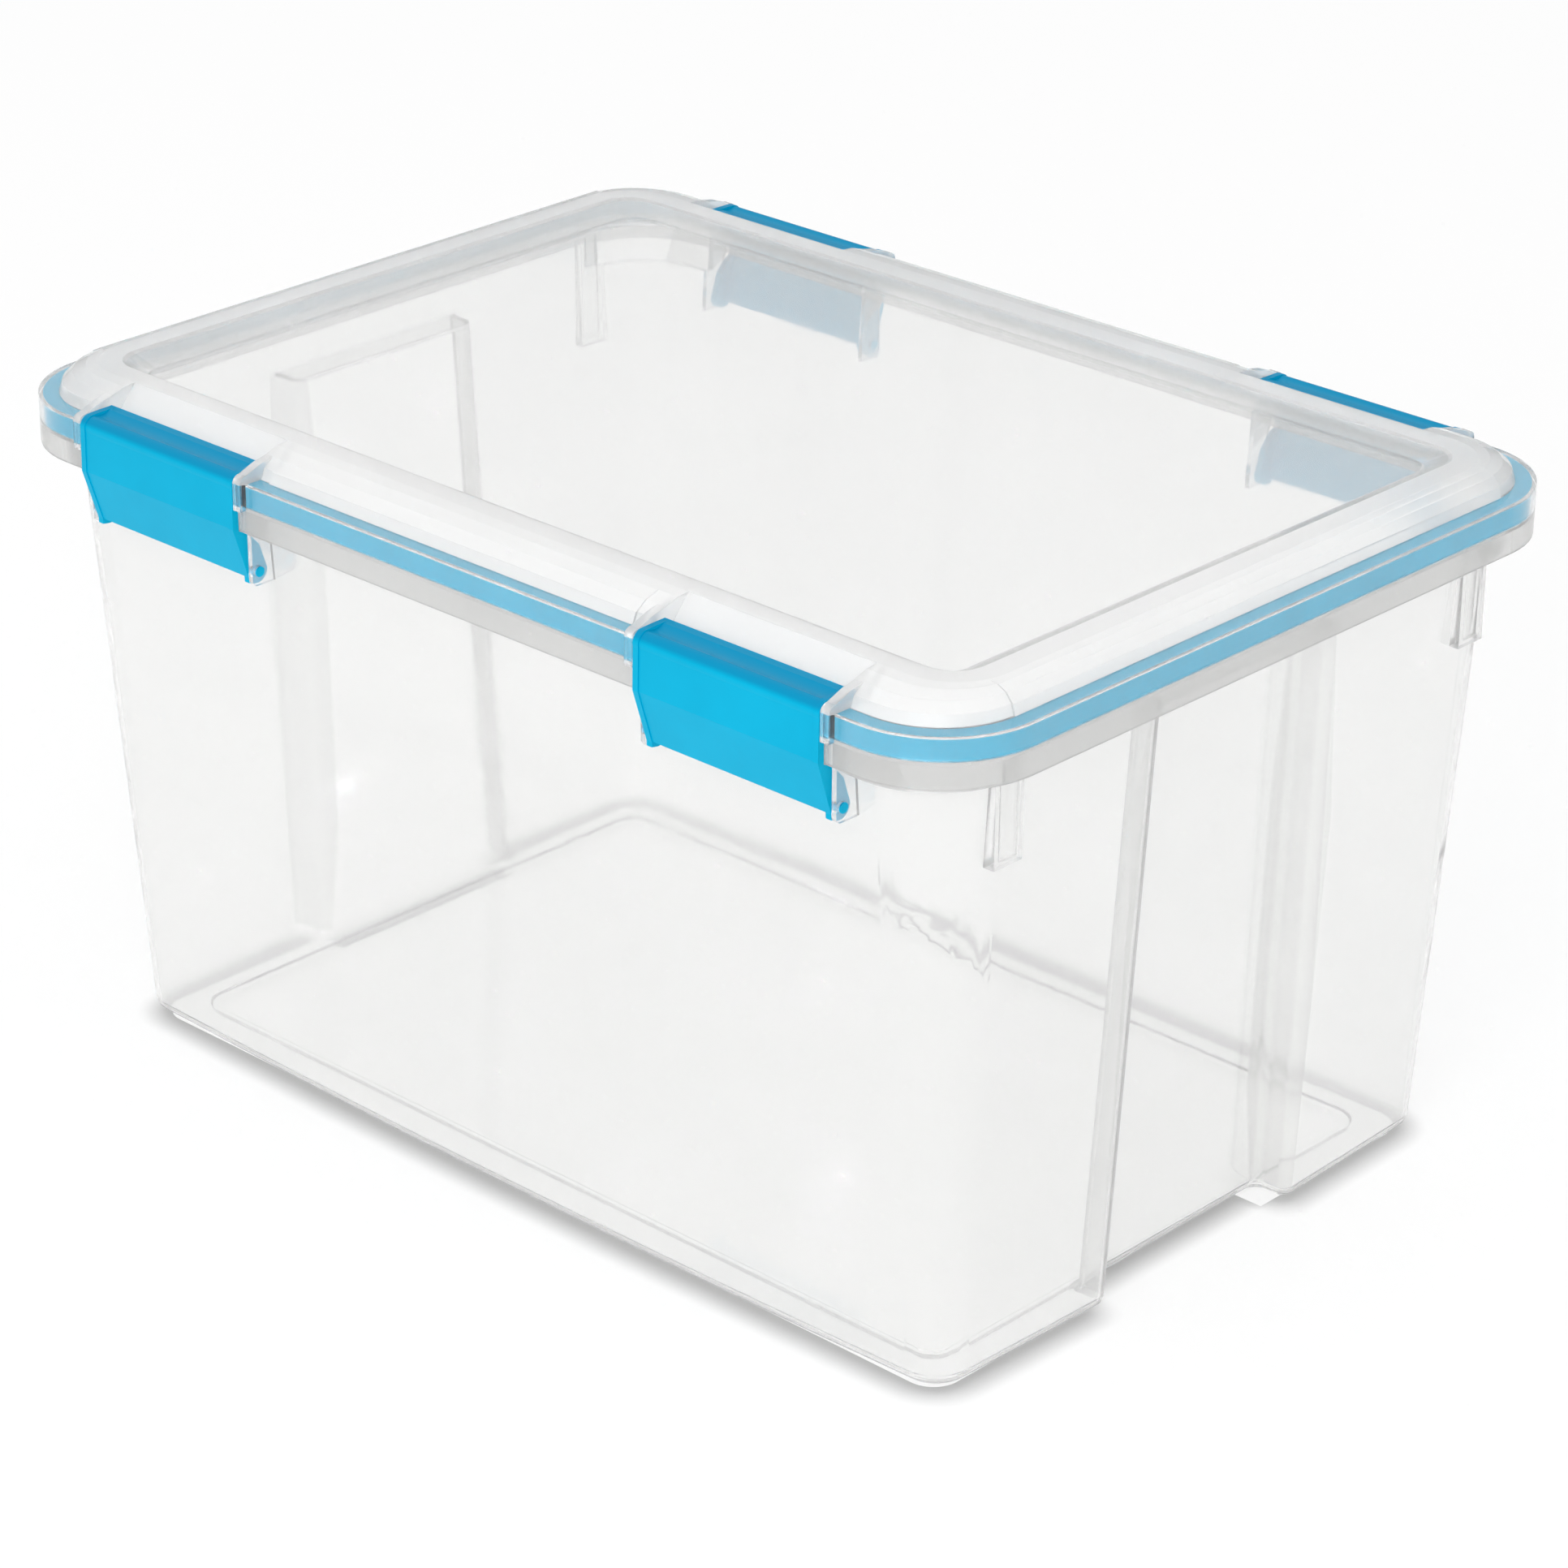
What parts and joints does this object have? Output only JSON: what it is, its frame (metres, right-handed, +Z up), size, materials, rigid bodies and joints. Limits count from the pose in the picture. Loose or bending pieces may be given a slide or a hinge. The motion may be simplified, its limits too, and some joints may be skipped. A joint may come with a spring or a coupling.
{
  "type": "latching storage box",
  "caption": "Deep clear storage box with tapered walls and a lift-off lid, sealed by a soft ring and held by hinged side latches that hook over the lid's edge.",
  "frame": {"origin": "middle of the underside of the tub", "axes": "+X along the long sides towards the right end, +Y across towards the back, +Z up; the front long side faces -Y"},
  "size_m": [0.581, 0.423, 0.3323],
  "materials": {
    "tub_plastic": "clear, smooth",
    "lid_plastic": "clear, smooth",
    "gasket_rubber": "satin",
    "latch_plastic": "semi-gloss"
  },
  "bodies": {
    "tub": {"tub": "tub_plastic"},
    "lid": {"lid": "lid_plastic", "gasket": "gasket_rubber"},
    "latch_front_left": {"latch_front_left": "latch_plastic"},
    "latch_front_right": {"latch_front_right": "latch_plastic"},
    "latch_back_left": {"latch_back_left": "latch_plastic"},
    "latch_back_right": {"latch_back_right": "latch_plastic"}
  },
  "joints": [
    {"name": "lid_lift", "type": "slide", "parent": "tub", "child": "lid", "axis": [0, 0, 1], "range_m": [0, 0.35]},
    {"name": "latch_front_left_hinge", "type": "hinge", "parent": "tub", "child": "latch_front_left", "pos_m": [-0.1738, -0.1998, 0.2774], "axis": [1, 0, 0], "range_deg": [0, 110]},
    {"name": "latch_front_right_hinge", "type": "hinge", "parent": "tub", "child": "latch_front_right", "pos_m": [0.1738, -0.1998, 0.2774], "axis": [1, 0, 0], "range_deg": [0, 110]},
    {"name": "latch_back_left_hinge", "type": "hinge", "parent": "tub", "child": "latch_back_left", "pos_m": [-0.1738, 0.1998, 0.2774], "axis": [-1, 0, 0], "range_deg": [0, 110]},
    {"name": "latch_back_right_hinge", "type": "hinge", "parent": "tub", "child": "latch_back_right", "pos_m": [0.1738, 0.1998, 0.2774], "axis": [-1, 0, 0], "range_deg": [0, 110]}
  ]
}
